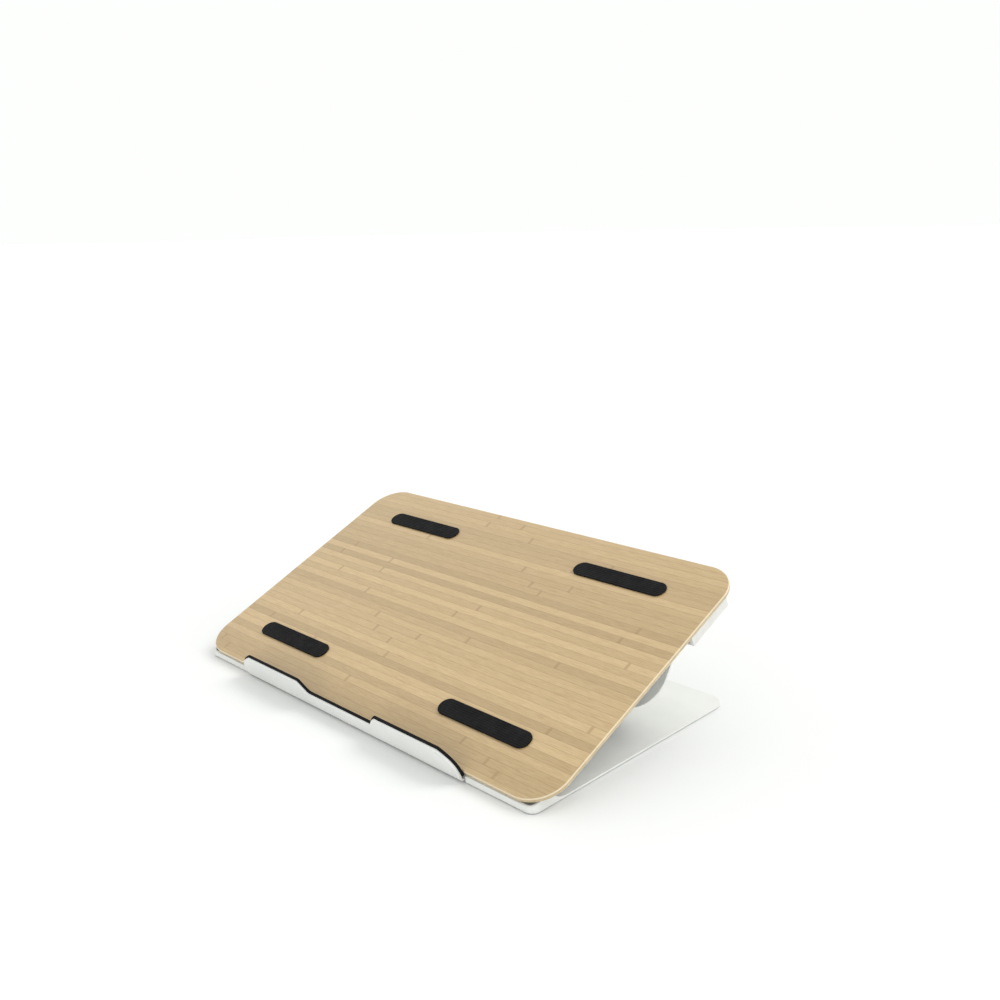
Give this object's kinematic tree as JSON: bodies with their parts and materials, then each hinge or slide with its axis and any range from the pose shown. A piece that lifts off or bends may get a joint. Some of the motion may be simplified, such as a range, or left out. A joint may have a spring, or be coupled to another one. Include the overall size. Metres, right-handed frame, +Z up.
{
  "type": "laptop stand",
  "caption": "Low folding laptop stand: a flat sheet base, a sloping board-topped tray with a two-tab front lip, and a hinged rear leg whose rod slides in rails under the tray",
  "frame": {"origin": "middle of the stand's footprint, on the desk under its feet", "axes": "+X along the stand's width to the right of a person at the desk, +Y from the front lip to the raised rear edge, +Z up from the desk"},
  "size_m": [0.3196, 0.1828, 0.085],
  "materials": {
    "white_steel": "fine satin white powder coat",
    "bamboo": "light tan laminated bamboo under clear satin lacquer",
    "black_rubber": "matte black moulded rubber",
    "grey_rubber": "matte dark grey rubber",
    "hinge_steel": "zinc-plated pressed steel",
    "white_nylon": "off-white moulded nylon"
  },
  "bodies": {
    "base": {"base_plate": "white_steel", "foot_front_left": "grey_rubber", "foot_front_right": "grey_rubber", "foot_rear_left": "grey_rubber", "foot_rear_right": "grey_rubber", "tilt_hinge_base_leaf_left": "hinge_steel", "tilt_hinge_base_leaf_right": "hinge_steel", "tilt_hinge_pin_left": "hinge_steel", "tilt_hinge_pin_right": "hinge_steel", "tilt_hinge_base_rivet_left_1": "hinge_steel", "tilt_hinge_base_rivet_left_2": "hinge_steel", "tilt_hinge_base_rivet_right_1": "hinge_steel", "tilt_hinge_base_rivet_right_2": "hinge_steel", "leg_hinge_base_leaf_left": "hinge_steel", "leg_hinge_base_leaf_right": "hinge_steel", "leg_hinge_pin_left": "hinge_steel", "leg_hinge_pin_right": "hinge_steel", "leg_hinge_base_rivet_left_1": "hinge_steel", "leg_hinge_base_rivet_left_2": "hinge_steel", "leg_hinge_base_rivet_right_1": "hinge_steel", "leg_hinge_base_rivet_right_2": "hinge_steel"},
    "tray": {"tray_plate": "white_steel", "top_board": "bamboo", "front_lip": "white_steel", "lip_rivet_1": "hinge_steel", "lip_rivet_2": "hinge_steel", "lip_rivet_3": "hinge_steel", "lip_rivet_4": "hinge_steel", "lip_liner": "black_rubber", "grip_strip_front_left": "black_rubber", "grip_strip_front_right": "black_rubber", "grip_strip_rear_left": "black_rubber", "grip_strip_rear_right": "black_rubber", "tilt_hinge_tray_leaf_left": "hinge_steel", "tilt_hinge_tray_leaf_right": "hinge_steel", "tilt_hinge_tray_rivet_left_1": "hinge_steel", "tilt_hinge_tray_rivet_left_2": "hinge_steel", "tilt_hinge_tray_rivet_right_1": "hinge_steel", "tilt_hinge_tray_rivet_right_2": "hinge_steel", "guide_rail_left": "white_nylon", "guide_rail_right": "white_nylon", "rail_screw_left_1": "hinge_steel", "rail_screw_left_2": "hinge_steel", "rail_screw_right_1": "hinge_steel", "rail_screw_right_2": "hinge_steel"},
    "leg": {"leg_plate": "white_steel", "slide_rod": "hinge_steel", "rod_glide_left": "white_nylon", "rod_glide_right": "white_nylon", "leg_hinge_leg_leaf_left": "hinge_steel", "leg_hinge_leg_leaf_right": "hinge_steel", "leg_hinge_leg_rivet_left_1": "hinge_steel", "leg_hinge_leg_rivet_left_2": "hinge_steel", "leg_hinge_leg_rivet_right_1": "hinge_steel", "leg_hinge_leg_rivet_right_2": "hinge_steel"}
  },
  "joints": [
    {"name": "platform_tilt", "type": "hinge", "parent": "base", "child": "tray", "pos_m": [0, -0.06193, 0.0059], "axis": [1, 0, 0], "range_deg": [-23.9, 0]},
    {"name": "leg_fold", "type": "hinge", "parent": "base", "child": "leg", "pos_m": [0, 0.02607, 0.0059], "axis": [1, 0, 0], "range_deg": [-58.63, 0]}
  ],
  "couplings": [
    {"joint": "leg_fold", "follows": "platform_tilt", "ratio": 2.4531}
  ]
}
